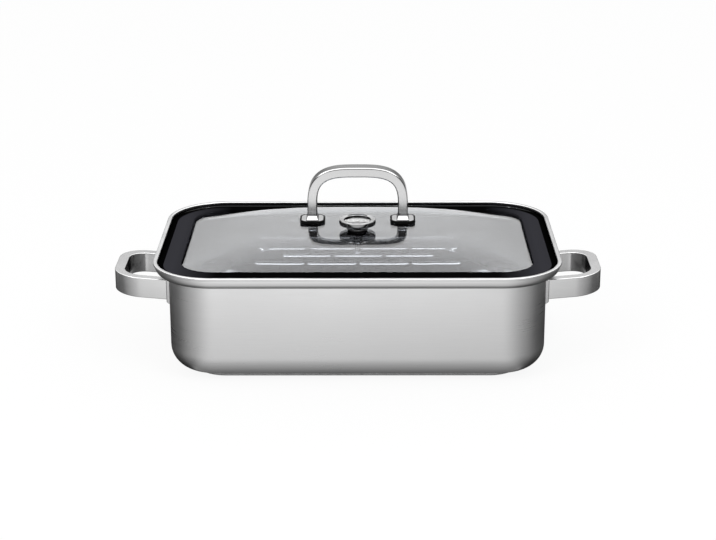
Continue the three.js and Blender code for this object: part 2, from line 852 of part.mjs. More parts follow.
const lid = new THREE.Group();
lid.position.z = panHeight;
lid.add(piece('lid_glass', lidGlass(), 'glass'));
lid.add(piece('lid_seal', lidSeal(), 'silicone'));
lid.add(piece('lid_handle', lidHandle(), 'satinSteel'));
[['left', -legSpacing / 2], ['right', legSpacing / 2]].forEach(([side, x]) => {
  lid.add(piece(`${side}_foot_plate`, footPlate(x), 'polishedSteel'));
  lid.add(piece(`${side}_foot_gasket`, footPad(x), 'silicone'));
  lid.add(piece(`${side}_under_gasket`, underPad(x), 'silicone'));
  lid.add(piece(`${side}_washer`, footWasher(x), 'satinSteel'));
  lid.add(piece(`${side}_screw`, footScrew(x), 'satinSteel'));
});

const thermometer = new THREE.Group();
thermometer.position.y = -thermoForward;
thermometer.add(piece('thermo_neck', thermoNeck(), 'silicone'));
thermometer.add(piece('thermo_case', thermoCase(), 'polishedSteel'));
thermometer.add(piece('thermo_bezel', thermoBezel(), 'polishedSteel'));
thermometer.add(piece('thermo_lens', thermoLens(), 'glass'));
thermometer.add(piece('thermo_dial', thermoDial(), 'dial'));
thermometer.add(piece('thermo_pointer', thermoPointer(), 'needle'));
thermometer.add(piece('thermo_shaft', thermoShaft(), 'satinSteel'));
thermometer.add(piece('thermo_stem', thermoStem(), 'satinSteel'));
thermometer.add(piece('thermo_coil', thermoCoil(), 'bimetal'));
thermometer.add(piece('thermo_under_gasket', thermoPad(), 'silicone'));
thermometer.add(piece('thermo_nut', thermoNut(), 'satinSteel'));
lid.add(thermometer);

const roastingPan = new THREE.Group();
roastingPan.add(pan, lid);

export default roastingPan;
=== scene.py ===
import math

import bmesh
import bpy
from mathutils import Matrix, Vector


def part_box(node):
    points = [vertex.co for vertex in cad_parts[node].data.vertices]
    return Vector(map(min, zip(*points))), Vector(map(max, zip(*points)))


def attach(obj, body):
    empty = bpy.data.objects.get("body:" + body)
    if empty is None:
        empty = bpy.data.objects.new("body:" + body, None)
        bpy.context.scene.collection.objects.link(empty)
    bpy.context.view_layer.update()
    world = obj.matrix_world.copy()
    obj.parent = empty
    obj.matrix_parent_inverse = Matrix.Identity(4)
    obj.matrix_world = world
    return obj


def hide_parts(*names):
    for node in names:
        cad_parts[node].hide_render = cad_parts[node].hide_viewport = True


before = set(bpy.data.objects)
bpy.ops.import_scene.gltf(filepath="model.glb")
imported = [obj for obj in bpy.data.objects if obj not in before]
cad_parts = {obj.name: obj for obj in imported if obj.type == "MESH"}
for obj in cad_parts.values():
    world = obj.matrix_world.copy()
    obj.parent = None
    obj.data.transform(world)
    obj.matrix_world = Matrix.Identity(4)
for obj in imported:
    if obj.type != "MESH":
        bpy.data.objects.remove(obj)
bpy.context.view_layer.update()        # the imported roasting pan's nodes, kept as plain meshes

scene = bpy.context.scene
mm = 0.001               # the pieces are sized in millimetres, the studio and camera in metres


# small mesh tools

def nodeBox(node):
    low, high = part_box(node)
    return low / mm, high / mm


def nodeCentre(node):
    low, high = nodeBox(node)
    return (low.x + high.x) / 2, (low.y + high.y) / 2


def nodeRadius(node):
    low, high = nodeBox(node)
    return (high.x - low.x) / 2


def roundedRect(length, depth, corner, steps, support=1.5):
    # anticlockwise outline; the support points keep the straight sides flat when shaded
    hair = 0.01              # least straight side
    radius = min(corner, length / 2 - hair, depth / 2 - hair)
    outline = []
    for number in range(4):
        start, end = number * math.pi / 2, (number + 1) * math.pi / 2
        cx = math.copysign(length / 2 - radius, math.cos((start + end) / 2))
        cy = math.copysign(depth / 2 - radius, math.sin((start + end) / 2))
        arc = []
        for step in range(steps + 1):
            angle = start + (end - start) * step / steps
            arc.append(Vector((cx + radius * math.cos(angle), cy + radius * math.sin(angle))))
        before = Vector((math.sin(start), -math.cos(start))) * support
        after = Vector((-math.sin(end), math.cos(end))) * support
        outline += [arc[0] + before] + arc + [arc[-1] + after]
    return outline


def strapOutline(width, tall, ease):
    edgeSteps, support = 6, 0.3
    return roundedRect(width, tall, ease, edgeSteps, support)


def ringAt(outline, height, x=0, y=0):
    return [(p.x + x, p.y + y, height) for p in outline]


def eased(corners, loop=False, steps=5):
    # rounds each (a, b, radius) corner of a profile line
    mostOfSide = 0.48        # share of a side that one rounding may take
    line = []
    for i, (a, b, radius) in enumerate(corners):
        atEnd = not loop and i in (0, len(corners) - 1)
        if radius == 0 or atEnd:
            line.append((a, b))
            continue
        here = Vector((a, b))
        back = Vector(corners[i - 1][:2]) - here
        ahead = Vector(corners[(i + 1) % len(corners)][:2]) - here
        reach = radius / math.tan(back.angle(ahead) / 2)
        reach = min(reach, back.length * mostOfSide, ahead.length * mostOfSide)
        start = here + back.normalized() * reach
        end = here + ahead.normalized() * reach
        for step in range(steps + 1):
            t = step / steps
            line.append(tuple(start.lerp(here, t).lerp(here.lerp(end, t), t)))
    return line


def quarter(steps, place):
    return [place(step / steps * math.pi / 2) for step in range(steps + 1)]


def skin(rings, loop=False):
    # joins rings of points; without a loop both ends are capped, after all the sides
    count = len(rings[0])
    points = [p for ring in rings for p in ring]
    faces = []
    for r in range(len(rings) if loop else len(rings) - 1):
        near, far = r * count, (r + 1) % len(rings) * count
        for i in range(count):
            j = (i + 1) % count
            faces.append((near + i, near + j, far + j, far + i))
    if not loop:
        faces.append(tuple(reversed(range(count))))
        faces.append(tuple(range(len(points) - count, len(points))))
    return points, faces


def circle(centre, radius, height, steps):
    turns = [step / steps * 2 * math.pi for step in range(steps)]
    return [(centre[0] + radius * math.cos(a), centre[1] + radius * math.sin(a), height) for a in turns]


def turn(profile, centre, steps=96):
    # lathe about a vertical line; points on the axis are welded later
    return skin([circle(centre, radius, height, steps) for radius, height in profile], True)


def sweep(path, section, normal):
    # section points are (across, along the normal) at every point of a flat path
    rings = []
    for i, point in enumerate(path):
        before, after = path[max(i - 1, 0)], path[min(i + 1, len(path) - 1)]
        across = normal.cross((after - before).normalized())
        rings.append([tuple(point + across * p.x + normal * p.y) for p in section])
    return skin(rings)


def turnedRound(shell):
    points, faces = shell
    return [(-x, -y, z) for x, y, z in points], faces


def curveShell(curve, place):
    # the filled mesh of a flat curve, carried to its place
    holder = bpy.data.objects.new(curve.name, curve)
    scene.collection.objects.link(holder)
    graph = bpy.context.evaluated_depsgraph_get()
    flat = bpy.data.meshes.new_from_object(holder.evaluated_get(graph))
    points = [tuple(vertex.co + place) for vertex in flat.vertices]
    faces = [tuple(polygon.vertices) for polygon in flat.polygons]
    bpy.data.objects.remove(holder)
    bpy.data.curves.remove(curve)
    bpy.data.meshes.remove(flat)
    return points, faces


weldGap = 1e-7           # metres
slimmest = 1e-8


def makePiece(name, shells, finish, body, nodes=(), crease=34, second=None, isSecond=None):
    points, faces = [], []
    for shellPoints, shellFaces in shells:
        start = len(points)
        points += [Vector(p) * mm for p in shellPoints]
        faces += [tuple(start + i for i in face) for face in shellFaces]
    mesh = bpy.data.meshes.new(name)
    mesh.from_pydata(points, [], faces)
    mesh.materials.append(finish)
    if second:
        mesh.materials.append(second)
        for number, polygon in enumerate(mesh.polygons):
            polygon.material_index = 1 if isSecond(number) else 0
    work = bmesh.new()
    work.from_mesh(mesh)
    bmesh.ops.remove_doubles(work, verts=work.verts, dist=weldGap)
    bmesh.ops.dissolve_degenerate(work, edges=work.edges, dist=slimmest)
    loose = [edge for edge in work.edges if not edge.link_faces]
    bmesh.ops.delete(work, geom=loose, context="EDGES")
    bmesh.ops.recalc_face_normals(work, faces=work.faces)
    for face in work.faces:
        face.smooth = True
    for edge in work.edges:
        edge.smooth = len(edge.link_faces) == 2 and edge.calc_face_angle() < math.radians(crease)
    work.to_mesh(mesh)
    work.free()
    piece = bpy.data.objects.new(name, mesh)
    scene.collection.objects.link(piece)
    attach(piece, body)
    if nodes:
        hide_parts(*nodes)


def refinish(node, finish):
    # a CAD node that keeps its own mesh
    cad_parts[node].data.materials.clear()
    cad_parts[node].data.materials.append(finish)


# node tools

def newFinish(name):
    finish = bpy.data.materials.new(name)
    finish.use_nodes = True
    tree = finish.node_tree
    return finish, tree, tree.nodes["Principled BSDF"]


def plug(node, place, value):
    # links another node's socket, or sets a plain value
    if isinstance(value, bpy.types.NodeSocket):
        node.id_data.links.new(value, node.inputs[place])
    else:
        node.inputs[place].default_value = value


def addNode(tree, kind, **values):
    node = tree.nodes.new(kind)
    for key, value in values.items():
        if key in node.inputs:
            plug(node, key, value)
        else:
            setattr(node, key, value)
    return node


def calc(tree, operation, *values):
    node = addNode(tree, "ShaderNodeMath", operation=operation)
    for place, value in enumerate(values):
        plug(node, place, value)
    return node.outputs[0]


def splitPlace(tree, kind):
    where = addNode(tree, "ShaderNodeTexCoord").outputs[kind]
    return addNode(tree, "ShaderNodeSeparateXYZ", Vector=where).outputs


def stretchedNoise(tree, stretch, scale, detail=3.0):
    # noise drawn out along the grain
    where = addNode(tree, "ShaderNodeTexCoord").outputs["Object"]
    drawn = addNode(tree, "ShaderNodeMapping", Scale=stretch, Vector=where).outputs["Vector"]
    return addNode(tree, "ShaderNodeTexNoise", Scale=scale, Detail=detail, Vector=drawn).outputs["Fac"]


def evenNoise(tree, scale, detail):
    return stretchedNoise(tree, (1, 1, 1), scale, detail)


def toRange(tree, source, low, high, fromLow=0.3, fromHigh=0.7):
    ends = {"From Min": fromLow, "From Max": fromHigh, "To Min": low, "To Max": high}
    return addNode(tree, "ShaderNodeMapRange", Value=source, **ends).outputs["Result"]


def grey(level):
    return level, level, level


def blendColour(tree, factor, first, second):
    mix = addNode(tree, "ShaderNodeMix", data_type="RGBA")
    for place, value in (("Factor", factor), ("A", first), ("B", second)):
        plug(mix, place, (*value, 1) if isinstance(value, tuple) else value)
    return mix.outputs["Result"]


def mixSurface(tree, factor, first, second, output):
    mix = addNode(tree, "ShaderNodeMixShader")
    for place, value in enumerate((factor, first, second)):
        plug(mix, place, value)
    plug(tree.nodes[output], "Surface", mix.outputs[0])


def addBump(tree, shader, height, strength, distance):
    bump = addNode(tree, "ShaderNodeBump", Strength=strength, Distance=distance, Height=height)
    plug(shader, "Normal", bump.outputs["Normal"])


# finishes

steelLook = {
    "dark": (0.60, 0.60, 0.603),
    "light": (0.66, 0.66, 0.66),
    "grain": 900.0,          # grain lines per metre, across the brushing
    "bump": 0.015,
    "grainDepth": 0.0002,
    "cloud": 14.0,           # broad patches of more and less gloss
    "spread": (0.75, 1.25),  # sum of both noises where it is smoothest and roughest
}


def brushedSteel(name, stretch, rough, tone=1.0, edge=1.0, anisotropy=0.0):
    look = steelLook
    finish, tree, shader = newFinish(name)
    grain = stretchedNoise(tree, stretch, look["grain"])
    cloud = evenNoise(tree, look["cloud"], 4.0)
    dark, light = [tuple(part * tone for part in look[shade]) for shade in ("dark", "light")]
    plug(shader, "Base Color", blendColour(tree, grain, dark, light))
    plug(shader, "Roughness", toRange(tree, calc(tree, "ADD", grain, cloud), *rough, *look["spread"]))
    plug(shader, "Metallic", 1.0)
    plug(shader, "Specular Tint", (*grey(edge), 1))      # at a low angle
    addBump(tree, shader, grain, look["bump"], look["grainDepth"])
    if anisotropy:
        tangent = addNode(tree, "ShaderNodeTangent", direction_type="RADIAL", axis="Z")
        plug(shader, "Anisotropic", anisotropy)
        plug(shader, "Tangent", tangent.outputs["Tangent"])
    return finish


panSteel = brushedSteel("panSteel", (0.03, 0.03, 1), (0.27, 0.37), edge=0.2, anisotropy=0.35)
innerSteel = brushedSteel("innerSteel", (0.03, 0.03, 1), (0.07, 0.11), tone=0.7)
handleSteel = brushedSteel("handleSteel", (0.05, 0.05, 1), (0.12, 0.17), tone=0.86, edge=0.28)
loopSteel = brushedSteel("loopSteel", (0.05, 0.05, 1), (0.16, 0.22), tone=1.15, edge=0.12)
insertSteel = brushedSteel("insertSteel", (0.04, 1, 1), (0.03, 0.06), tone=0.95)
foldSteel = brushedSteel("foldSteel", (0.04, 1, 1), (0.16, 0.22), tone=0.85)
# a lighter copy of the steel: painted light on the base's side and edge
paintedLightBaseSteel = brushedSteel("paintedLightBaseSteel", (0.2, 0.2, 1), (0.18, 0.26), tone=1.45)
plainAluminium = brushedSteel("plainAluminium", (0.3, 0.3, 0.3), (0.4, 0.5))


def mottled(name, dark, light, scale, detail, rough, metallic=0.0, bump=0.0):
    # two close shades and an uneven gloss: polish, print and heat-stained metal
    finish, tree, shader = newFinish(name)
    speck = evenNoise(tree, scale, detail)
    plug(shader, "Base Color", blendColour(tree, speck, dark, light))
    plug(shader, "Roughness", toRange(tree, speck, *rough))
    plug(shader, "Metallic", metallic)
    if bump:
        addBump(tree, shader, speck, bump, steelLook["grainDepth"])
    return finish


blackLook = {
    "dust": 60.0, "pores": 1600.0, "bump": 0.12, "poreDepth": 0.0001,
    "paintedSheenReach": (0.125, 0.165),      # metres from the middle
}


# ends, when given, is the colour of a painted sheen towards the two ends
def softBlack(name, dark, light, rough, gloss, ends=None):
    look = blackLook
    finish, tree, shader = newFinish(name)
    dust = evenNoise(tree, look["dust"], 6.0)
    colour = blendColour(tree, dust, dark, light)
    if ends:
        # painted sheen: greyer towards the two ends, standing in for the reflection that the side bands
        # catch
        reach = calc(tree, "ABSOLUTE", splitPlace(tree, "Object")["X"])
        colour = blendColour(tree, toRange(tree, reach, 0.0, 1.0, *look["paintedSheenReach"]), colour, ends)
    plug(shader, "Base Color", colour)
    plug(shader, "Roughness", toRange(tree, dust, *rough))
    addBump(tree, shader, evenNoise(tree, look["pores"], 4.0), look["bump"], look["poreDepth"])
    plug(shader, "Specular IOR Level", gloss)
    return finish


def clearGlass(name, tint):
    finish, tree, shader = newFinish(name)
    filmScale, filmRough = 45.0, (0.0, 0.025)      # a faint, uneven film
    plug(shader, "Roughness", toRange(tree, evenNoise(tree, filmScale, 5.0), *filmRough))
    plug(shader, "Base Color", (*tint, 1))
    plug(shader, "Transmission Weight", 1.0)
    plug(shader, "IOR", 1.5)
    return finish


polish = {"scale": 120.0, "detail": 5.0, "rough": (0.06, 0.14), "metallic": 1.0, "bump": 0.02}
ink = {"scale": 900.0, "detail": 3.0, "rough": (0.4, 0.55)}
heatStain = {"scale": 400.0, "detail": 3.0, "rough": (0.3, 0.45), "metallic": 1.0}
brightSteel = mottled("brightSteel", (0.66, 0.66, 0.67), grey(0.74), **polish)
# a darker copy of the bright polished steel: painted shade on the foot plates, thermometer case and bezel
paintedShadeSteel = mottled("paintedShadeSteel", (0.24, 0.24, 0.245), grey(0.28), **polish)
dialFinish = mottled("dialFace", (0.4, 0.4, 0.405), grey(0.48), **ink)
inkFinish = mottled("dialInk", grey(0.01), grey(0.03), **ink)
pointerFinish = mottled("pointerPaint", (0.012, 0.012, 0.013), grey(0.03), **ink)
bimetalFinish = mottled("coilMetal", (0.42, 0.31, 0.16), (0.6, 0.48, 0.28), **heatStain)
# the last colour is the painted sheen at the rim's two ends
rimSilicone = softBlack("rimSilicone", grey(0.0015), grey(0.003), (0.5, 0.6), 0.0, (0.035, 0.035, 0.041))
padSilicone = softBlack("padSilicone", grey(0.004), grey(0.008), (0.55, 0.7), 0.05)
shoulderSilicone = softBlack("shoulderSilicone", grey(0.001), grey(0.002), (0.8, 0.95), 0.0)
lidGlassFinish = clearGlass("lidGlass", (0.695, 0.715, 0.745))
lensGlassFinish = clearGlass("lensGlass", grey(0.98))
print("finishes made")


# pan body

panLook = {
    "lipCorner": 56,
    "lipWidth": 3.8,
    "lipThickness": 2.2,
    "lipOverhang": 1.2,
    "lipEases": (0.5, 0.7, 0.9, 1.5, 0.6),      # from under the lip, round it, to its inner edge
    "wallInset": 13.6,
    "collarHeight": 12.5,
    "collarDrop": 3,
    "creaseFlat": 0.25,      # small flat between wall and collar
    "creaseLead": 1.2,       # straight wall below it, which keeps the shading even
    "ledgeEase": (0.3, 0.4),
    "ledgeLead": 1.6,
    "bottomRadius": 22,
    "sheet": 1,
    "cornerSteps": 26,
    "bendSteps": 14,
}
panLow, panHigh = nodeBox("pan_body")
lipLength = panHigh.x - panLow.x
lipDepth = panHigh.y - panLow.y
lipTop = panHigh.z


def panRing(inset, height):
    corner = max(panLook["lipCorner"] - inset, 1)
    outline = roundedRect(lipLength - 2 * inset, lipDepth - 2 * inset, corner, panLook["cornerSteps"])
    return ringAt(outline, height)


def lipProfile(collarTop, collarEnd):
    look = panLook
    under = lipTop - look["lipThickness"]
    eases = look["lipEases"]
    return eased([
        (look["lipOverhang"], collarTop, 0),
        (look["lipOverhang"], under, eases[0]),
        (0, under, eases[1]),
        (0, lipTop, eases[2]),
        (look["lipWidth"], lipTop, eases[3]),
        (look["lipWidth"], under, eases[4]),
        (collarEnd, collarTop, 0),
    ])[1:-1]


def makePan():
    look = panLook
    wall, sheet, steps = look["wallInset"], look["sheet"], look["bendSteps"]
    radius, inner = look["bottomRadius"], look["bottomRadius"] - sheet
    reach = wall - look["lipOverhang"]
    fall = look["collarHeight"] - look["collarDrop"]
    collarTop = lipTop - look["collarDrop"]
    crease = lipTop - look["collarHeight"]
    ledge = crease + sheet
    flat = look["creaseFlat"]
    ledgeAcross, ledgeDown = look["ledgeEase"]
    floor = panLow.z
    bend = wall + radius

    # up the outside to the lip
    profile = quarter(steps, lambda a: (bend - radius * math.sin(a), floor + radius * (1 - math.cos(a))))
    profile += [(wall, crease - look["creaseLead"]), (wall, crease - flat), (wall - flat, crease)]
    profile += quarter(steps, lambda a: (wall - reach * math.sin(a), collarTop - fall * math.cos(a)))[1:]
    profile += lipProfile(collarTop, wall + sheet - reach)
    count = len(panRing(*profile[0]))
    firstInside = len(profile) * count

    # down the inside to the floor
    inside, hollow, bowl = wall + sheet, fall - sheet, floor + sheet
    collar = quarter(steps, lambda a: (inside - reach * math.cos(a), collarTop - hollow * math.sin(a)))
    profile += collar[:-1]
    profile += [(inside - ledgeAcross, ledge), (inside, ledge - ledgeDown)]
    profile += [(inside, ledge - look["ledgeLead"])]
    profile += quarter(steps, lambda a: (bend - inner * math.cos(a), bowl + inner * (1 - math.sin(a))))
    underside = (len(profile) - 1) * count      # the first of the two caps
    makePiece("roasterPan", [skin([panRing(*p) for p in profile])], panSteel, "pan",
              ["pan_body"], second=innerSteel,
              isSecond=lambda number: number >= firstInside and number != underside)


makePan()
print("pan body made")


# capsule base

baseLook = {
    "corner": 28, "sheet": 0.8, "turnIn": 4.2, "cornerSteps": 20,
    "lowEase": 0.4, "topEases": (0.25, 0.2), "innerEase": 0.5,
}
baseLow, baseHigh = nodeBox("base_cap")


def makeBase():
    look = baseLook
    length, depth = baseHigh.x - baseLow.x, baseHigh.y - baseLow.y
    sheet, inward = look["sheet"], look["turnIn"]
    outerTop, innerTop = look["topEases"]

    def ring(inset, height):
        size = length - 2 * inset, depth - 2 * inset
        return ringAt(roundedRect(*size, look["corner"] - inset, look["cornerSteps"]), height)

    edge = eased([(inward, 0, 0), (0, 0, look["lowEase"]), (0, baseHigh.z, outerTop),
                  (sheet, baseHigh.z, innerTop), (sheet, sheet, look["innerEase"]), (inward, sheet, 0)])
    makePiece("baseCapsule", [skin([ring(*p) for p in edge])], paintedLightBaseSteel, "pan", ["base_cap"])


makeBase()
refinish("base_core", plainAluminium)
print("base made")


# side handles and the plates that they are welded to

handleLook = {
    "strap": 9.2, "tall": 18.8, "drop": 28, "tilt": 5, "corner": 26, "ease": 0.5, "steps": 22,
    "weld": 0.2, "lead": 4,
}
bracketLook = {"chamfer": 4, "ease": 0.6, "edge": 1.6, "weld": 0.25, "flush": 1}
handleHigh = nodeBox("right_handle")[1]
bracketLow, bracketHigh = nodeBox("right_bracket")


def handleShell():
    look = handleLook
    radius = look["corner"] - look["strap"] / 2
    cx, cy = handleHigh.x - look["corner"], handleHigh.y - look["corner"]
    height = lipTop - look["drop"] - look["tall"] / 2
    start = bracketHigh.x - look["weld"]      # runs into the plate, as the weld does
    far = quarter(look["steps"], lambda a: (cx + radius * math.cos(a), cy + radius * math.sin(a)))
    far += [(cx - look["lead"], cy + radius), (start, cy + radius)]
    near = [(x, -y) for x, y in reversed(far)]
    path = [Vector((x, y, height)) for x, y in near + far]
    section = strapOutline(look["strap"], look["tall"], look["ease"])
    points, faces = sweep(path, section, Vector((0, 0, 1)))
    slope = math.tan(math.radians(look["tilt"]))      # the loop rises outwards
    return [(x, y, z + slope * (x - start)) for x, y, z in points], faces


def bracketShell():
    look = bracketLook
    ease = look["ease"]
    inside, outside = bracketLow.x - look["weld"], bracketHigh.x
    top, bottom = bracketHigh.z, bracketLow.z
    line = eased([(inside, bottom, 0), (outside, bottom + look["chamfer"], look["edge"]),
                  (outside, top, ease), (inside, top, 0)])
    drawnIn = [(x - ease if x > inside + look["flush"] else x, z) for x, z in line]
    near, far = bracketLow.y, bracketHigh.y
    bands = ((near, drawnIn), (near + ease, line), (far - ease, line), (far, drawnIn))
    return skin([[(x, y, z) for x, z in band] for y, band in bands])


for sideName, place in (("right", lambda shell: shell), ("left", turnedRound)):
    makePiece(sideName + "Bracket", [place(bracketShell())], panSteel, "pan",
              [sideName + "_bracket"])
    makePiece(sideName + "Handle", [place(handleShell())], loopSteel, "pan",
              [sideName + "_handle"], crease=40)
print("side handles made")


# steaming insert

insertLook = {
    "plateTop": 72, "length": 296, "depth": 196, "sheet": 1,
    "rim": 6, "legBend": 14, "legWidth": 88, "bendSteps": 10,
    "slotLength": 46, "slotWidth": 6, "slotPitch": 50, "slotSteps": 8,
    "rows": 7, "rowPitch": 25.6, "inLongRow": 4,
    "lipRise": 0.5, "lipWidth": 0.9, "lipThickness": 0.3,      # raised edge round each slot
    "lipHollow": (0.5, 0.15),      # shares of its width and rise
    "lipEases": (0.5, 0.2), "lipUnder": 0.2, "lipSteps": 3,
}
insertLow = nodeBox("steam_insert")[0]


def slotPlaces():
    look = insertLook
    for row in range(look["rows"]):
        fromMiddle = row - (look["rows"] - 1) / 2
        count = look["inLongRow"] - (1 if fromMiddle % 2 == 0 else 0)
        for i in range(count):
            yield (i - (count - 1) / 2) * look["slotPitch"], fromMiddle * look["rowPitch"]


def slotOutline(out=0.0):
    look = insertLook
    length, width = look["slotLength"] + 2 * out, look["slotWidth"] + 2 * out
    return roundedRect(length, width, width / 2, look["slotSteps"], 0.0)


def slotRim(x, y):
    look = insertLook
    top, low = look["plateTop"], look["plateTop"] - look["sheet"]
    rise, width, inside = look["lipRise"], look["lipWidth"], -look["lipThickness"]
    hollowWidth, hollowRise = look["lipHollow"]
    outerEase, innerEase = look["lipEases"]
    line = eased([(width, top, 0), (width * hollowWidth, top + rise * hollowRise, outerEase),
                  (0, top + rise, outerEase), (inside, top + rise, innerEase), (inside, low, innerEase),
                  (look["lipUnder"], low, 0)], steps=look["lipSteps"])
    return skin([ringAt(slotOutline(out), height, x, y) for out, height in line], True)


def flatPlate():
    # outline and slots of a flat curve, filled
    look = insertLook
    curve = bpy.data.curves.new("plateOutline", "CURVE")
    curve.dimensions = "2D"
    curve.fill_mode = "BOTH"
    curve.extrude = look["sheet"] / 2
    endX, endY = look["length"] / 2, look["depth"] / 2 - look["sheet"]
    loops = [[(-endX, -endY), (endX, -endY), (endX, endY), (-endX, endY)]]
    for x, y in slotPlaces():
        loops.append([(p.x + x, p.y + y) for p in slotOutline()])
    for loop in loops:
        spline = curve.splines.new("POLY")
        spline.points.add(len(loop) - 1)
        spline.use_cyclic_u = True
        for point, (x, y) in zip(spline.points, loop):
            point.co = (x, y, 0, 1)
    return curveShell(curve, Vector((0, 0, look["plateTop"] - look["sheet"] / 2)))


def bentStrip(line, thickness, width, alongY):
    # a bent sheet: the line is its upper face, the other face lies to its right
    inner = []
    for i, point in enumerate(line):
        before, after = line[max(i - 1, 0)], line[min(i + 1, len(line) - 1)]
        way = (after - before).normalized()
        inner.append(point + Vector((way.y, -way.x)) * thickness)
    around = list(line) + list(reversed(inner))
    end, lead = width / 2, 0.3
    places = (-end, lead - end, end - lead, end)
    if alongY:
        return skin([[(p.x, place, p.y) for p in around] for place in places])
    return skin([[(place, p.x, p.y) for p in around] for place in places])


def makeInsert():
    look = insertLook
    top, sheet, bend = look["plateTop"], look["sheet"], look["legBend"]
    shells = [flatPlate()] + [slotRim(x, y) for x, y in slotPlaces()]
    flatFaces = sum(len(faces) for points, faces in shells)      # the folds after these are duller
    edge = look["depth"] / 2 - sheet
    rim = [Vector((-edge, top + look["rim"])), Vector((-edge, top - sheet))]      # a sharp fold
    end = -look["length"] / 2
    leg = [Vector((end - bend, insertLow.z))]
    leg += quarter(look["bendSteps"],
                   lambda a: Vector((end - bend * math.cos(a), top - bend * (1 - math.sin(a)))))
    folds = [bentStrip(rim, sheet, look["length"], False), bentStrip(leg, sheet, look["legWidth"], True)]
    shells += folds + [turnedRound(fold) for fold in folds]
    makePiece("steamInsert", shells, insertSteel, "insert", ["steam_insert"], crease=40,
              second=foldSteel, isSecond=lambda number: number >= flatFaces)


makeInsert()
print("steaming insert made")


# domed glass of the lid

glassLook = {
    "thickness": 4, "edge": 14, "drop": 4.2, "crown": 17, "power": 3, "rimTilt": 8.3,
    "domeInset": 25.3, "cornerSteps": 26, "sideBands": 8, "settle": 6, "turnDown": 12,
    "bands": 56, "crowding": 0.8,
    "edgeEase": ((3, 0), (1, 0.1), (0, 1.1)),      # in from the edge, down from the face
}
glassTop = lipTop - glassLook["drop"]
domeLength = lipLength - 2 * glassLook["domeInset"]
domeDepth = lipDepth - 2 * glassLook["domeInset"]
domeCorner = panLook["lipCorner"] - glassLook["domeInset"]
crown = lipTop + glassLook["crown"]
rimFall = math.tan(math.radians(glassLook["rimTilt"]))


def domeRise(x, y):
    along = 1 - min(abs(x) / (domeLength / 2), 1) ** glassLook["power"]
    across = 1 - min(abs(y) / (domeDepth / 2), 1) ** glassLook["power"]
    return (crown - glassTop) * along * across


def domePoint(edge, share):
    # on the dome, a share of the way out to a point of its edge; the corners settle on to the border
    x, y = edge.x * share, edge.y * share
    rise = domeRise(x, y) - domeRise(edge.x, edge.y) * share ** glassLook["settle"]
    return Vector((x, y, glassTop + rise))


def domeEdge():
    # the dome's outline, with points along its straight sides
    outline = roundedRect(domeLength, domeDepth, domeCorner, glassLook["cornerSteps"])
    bands = glassLook["sideBands"]
    straight = 20            # longer sides than this are divided
    sided = []
    for i, point in enumerate(outline):
        sided.append(point)
        after = outline[(i + 1) % len(outline)]
        if (after - point).length > straight:
            sided += [point.lerp(after, band / bands) for band in range(1, bands)]
    return sided


def domeRings(sided, shares, thickness):
    outer, inner = [], []
    step = 0.004             # share either side for the slope
    for share in shares:
        ring = [domePoint(edge, share) for edge in sided]
        outer.append([tuple(p) for p in ring])
        under = []
        for i, here in enumerate(ring):
            out = domePoint(sided[i], share + step) - domePoint(sided[i], share - step)
            around = ring[(i + 1) % len(ring)] - ring[i - 1]
            normal = out.cross(around).normalized()
            # straight down at the border
            down = Vector((0, 0, 1)).lerp(normal, 1 - share ** glassLook["turnDown"])
            under.append(tuple(here - down.normalized() * thickness))
        inner.append(under)
    return outer, inner


def border(inset, height):
    return inset, height - rimFall * (glassLook["domeInset"] - inset)


def borderRing(sided, inset, height):
    # carried outwards from the dome's edge, square to it
    coreX, coreY = domeLength / 2 - domeCorner, domeDepth / 2 - domeCorner
    reach = domeCorner + glassLook["domeInset"] - inset
    ring = []
    for edge in sided:
        pivot = Vector((max(min(edge.x, coreX), -coreX), max(min(edge.y, coreY), -coreY)))
        place = pivot + (edge - pivot).normalized() * reach
        ring.append((place.x, place.y, height))
    return ring


def makeGlass():
    look = glassLook
    edge, thick = look["edge"], look["thickness"]
    shares = [((band + 1) / look["bands"]) ** look["crowding"] for band in range(look["bands"])]
    sided = domeEdge()
    upper, lower = domeRings(sided, shares, thick)
    outer = [border(edge + across, glassTop - down) for across, down in look["edgeEase"]]
    outer += [border(edge + across, glassTop - thick + down) for across, down in reversed(look["edgeEase"])]
    rings = upper + [borderRing(sided, *p) for p in outer] + list(reversed(lower))
    makePiece("lidGlass", [skin(rings)], lidGlassFinish, "lid", ["lid_glass"], crease=50)


makeGlass()
print("lid glass made")


# silicone rim

rimLook = {
    "gap": 0.4, "drop": 1.7, "shoulder": 5, "shoulderDrop": 0.25,
    "outerEase": 0.5, "shoulderEase": 3.2, "innerEase": 0.8, "easeSteps": 8,
    "flange": 20, "seat": 0.3, "grooveFit": (0.12, 0.3), "flankSteps": 12,
}


